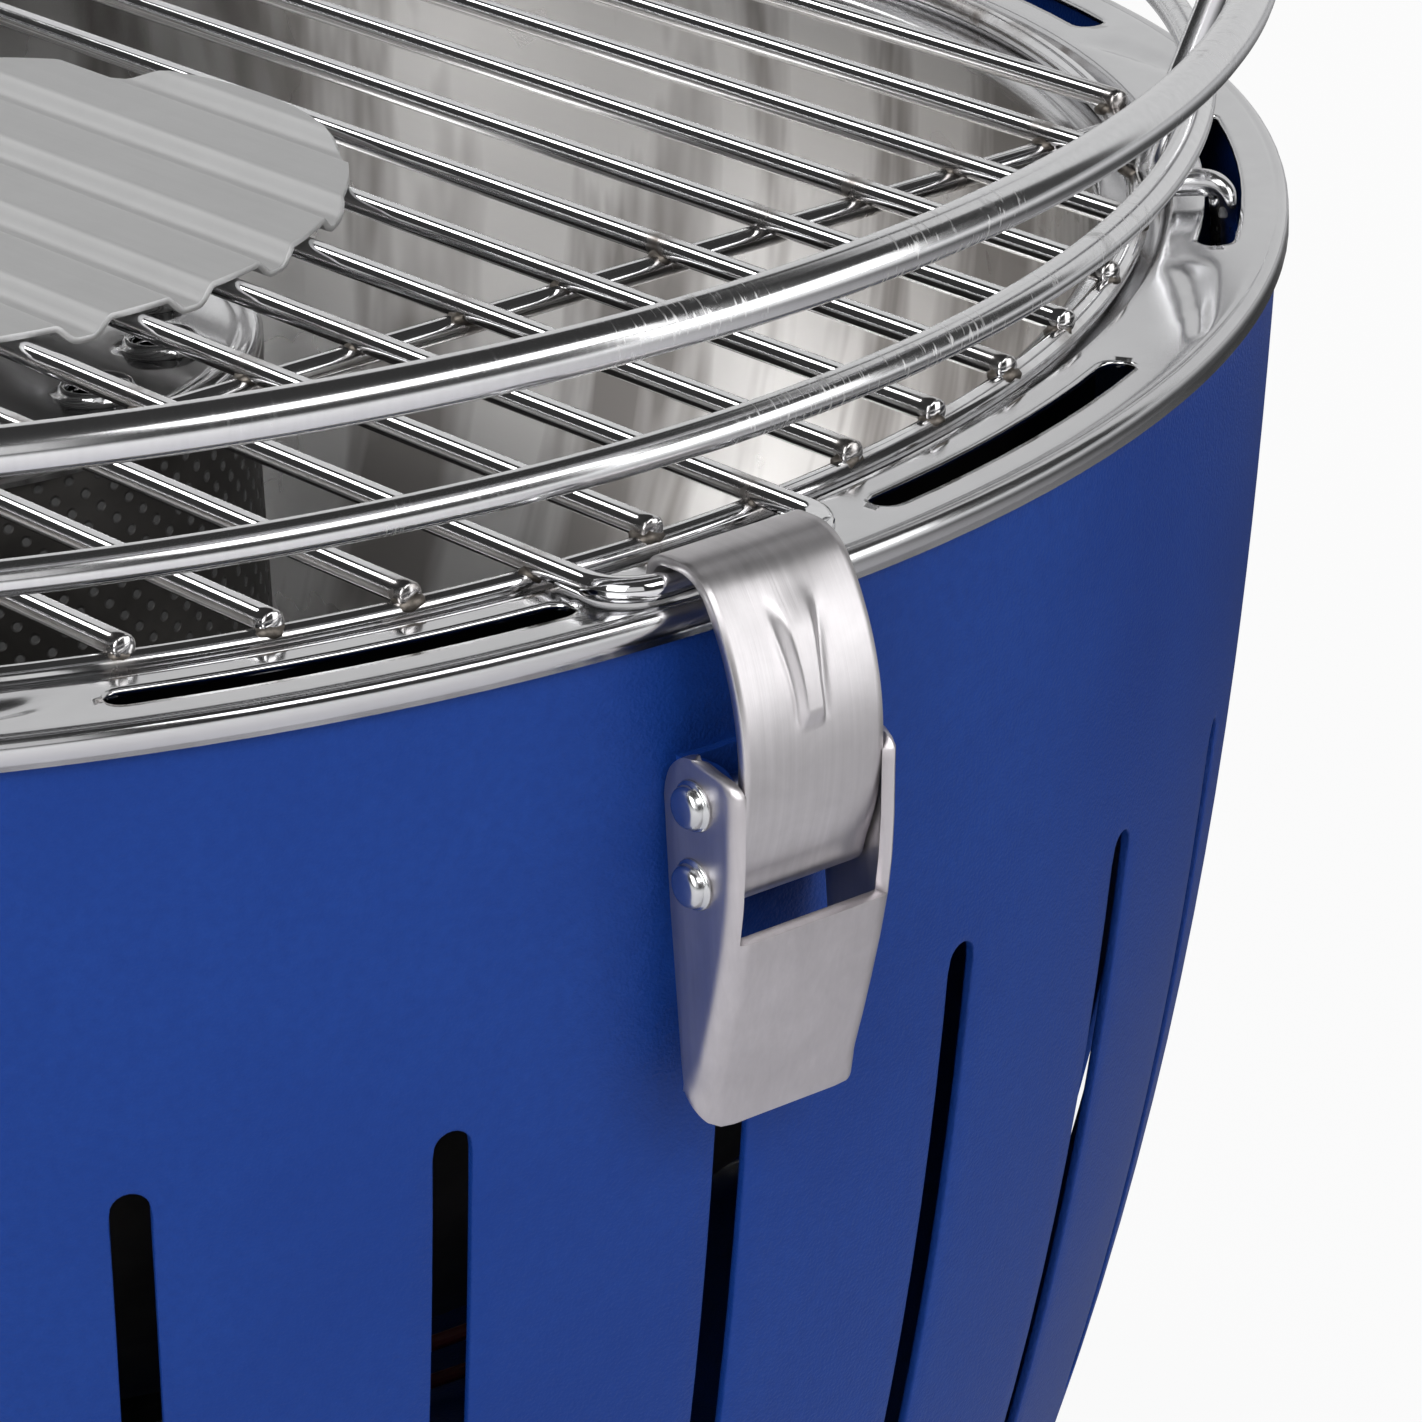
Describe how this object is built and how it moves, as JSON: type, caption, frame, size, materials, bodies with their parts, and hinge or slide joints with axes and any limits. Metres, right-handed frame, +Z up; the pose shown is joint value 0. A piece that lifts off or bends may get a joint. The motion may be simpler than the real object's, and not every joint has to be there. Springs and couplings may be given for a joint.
{
  "type": "portable tabletop grill",
  "caption": "Round tabletop charcoal grill: slotted painted bowl, lift-out inner bowl and wire grate with rails, over-centre latches, and a fan under the charcoal basket",
  "frame": {"origin": "on the table, in the middle of the feet", "axes": "+Z up, -Y toward the front latch, +X toward the control knob"},
  "size_m": [0.3503, 0.3712, 0.234],
  "materials": {
    "painted_bowl": "satin powder coat",
    "polished_steel": "polished stainless steel",
    "brushed_steel": "satin",
    "bright_wire": "bright plated wire",
    "zinc": "zinc plated",
    "rubber": "matte",
    "black_plastic": "moulded, fine grain",
    "cell_sleeve": "printed sleeve, plain",
    "motor_can": "drawn can",
    "switch_case": "moulded",
    "lead_sleeve": "insulated lead"
  },
  "bodies": {
    "base": {"outer_bowl": "painted_bowl", "rubber_feet": "rubber", "foot_screws": "zinc", "fan_housing": "black_plastic", "housing_screws": "zinc", "fan_motor": "motor_can", "fan_cover": "black_plastic", "heat_shield": "brushed_steel", "battery_case": "black_plastic", "battery_cells": "cell_sleeve", "battery_contacts": "zinc", "switch_bracket": "zinc", "switch_body": "switch_case", "knob_bezel": "black_plastic", "wiring": "lead_sleeve", "latch_bracket_front": "painted_bowl", "latch_bracket_rear": "painted_bowl"},
    "fan": {"fan_shaft": "zinc", "fan_rotor": "black_plastic"},
    "knob": {"control_shaft": "zinc", "control_knob": "black_plastic"},
    "battery_cover": {"battery_lid": "black_plastic"},
    "inner": {"inner_bowl": "polished_steel"},
    "tray": {"ignition_tray": "brushed_steel"},
    "basket": {"charcoal_basket": "brushed_steel", "basket_floor": "brushed_steel"},
    "basket_cover": {"basket_lid": "brushed_steel"},
    "grate": {"grate_bars": "bright_wire", "grate_loop": "bright_wire", "grate_ring": "bright_wire", "grate_cross_rods": "bright_wire", "rail_posts": "bright_wire", "rail_lower": "bright_wire", "rail_upper": "bright_wire", "centre_plate": "brushed_steel"},
    "lever_front": {"latch_lever_front": "brushed_steel", "pivot_rivet_front": "zinc", "claw_pin_front": "zinc"},
    "claw_front": {"latch_claw_front": "brushed_steel"},
    "lever_rear": {"latch_lever_rear": "brushed_steel", "pivot_rivet_rear": "zinc", "claw_pin_rear": "zinc"},
    "claw_rear": {"latch_claw_rear": "brushed_steel"}
  },
  "joints": [
    {"name": "fan_spin", "type": "hinge", "parent": "base", "child": "fan", "pos_m": [0, 0, 0.03], "axis": [0, 0, 1], "continuous": true},
    {"name": "knob_turn", "type": "hinge", "parent": "base", "child": "knob", "pos_m": [0.15, 0, 0.03], "axis": [1, 0, 0], "range_deg": [0, 270]},
    {"name": "battery_lid_slide", "type": "slide", "parent": "base", "child": "battery_cover", "axis": [0, 1, 0], "range_m": [0, 0.06]},
    {"name": "inner_bowl_lift", "type": "slide", "parent": "base", "child": "inner", "axis": [0, 0, 1], "range_m": [0, 0.14]},
    {"name": "grate_lift", "type": "slide", "parent": "inner", "child": "grate", "axis": [0, 0, 1], "range_m": [0, 0.3]},
    {"name": "basket_lift", "type": "slide", "parent": "inner", "child": "basket", "axis": [0, 0, 1], "range_m": [0, 0.18]},
    {"name": "basket_lid_lift", "type": "slide", "parent": "basket", "child": "basket_cover", "axis": [0, 0, 1], "range_m": [0, 0.081]},
    {"name": "tray_lift", "type": "slide", "parent": "inner", "child": "tray", "axis": [0, 0, 1], "range_m": [0, 0.15]},
    {"name": "lever_front_turn", "type": "hinge", "parent": "base", "child": "lever_front", "pos_m": [0, -0.1775, 0.1795], "axis": [-1, 0, 0], "range_deg": [0, 90]},
    {"name": "claw_front_turn", "type": "hinge", "parent": "lever_front", "child": "claw_front", "pos_m": [0, -0.1769, 0.1702], "axis": [-1, 0, 0], "range_deg": [-64, 0]},
    {"name": "lever_rear_turn", "type": "hinge", "parent": "base", "child": "lever_rear", "pos_m": [0, 0.1775, 0.1795], "axis": [1, 0, 0], "range_deg": [0, 90]},
    {"name": "claw_rear_turn", "type": "hinge", "parent": "lever_rear", "child": "claw_rear", "pos_m": [0, 0.1769, 0.1702], "axis": [1, 0, 0], "range_deg": [-64, 0]}
  ],
  "couplings": [
    {"joint": "basket_lift", "follows": "grate_lift", "ratio": 0.6},
    {"joint": "basket_lid_lift", "follows": "grate_lift", "ratio": 0.27},
    {"joint": "tray_lift", "follows": "grate_lift", "ratio": 0.5},
    {"joint": "claw_front_turn", "follows": "lever_front_turn", "ratio": -0.7075},
    {"joint": "claw_rear_turn", "follows": "lever_rear_turn", "ratio": -0.7075}
  ]
}
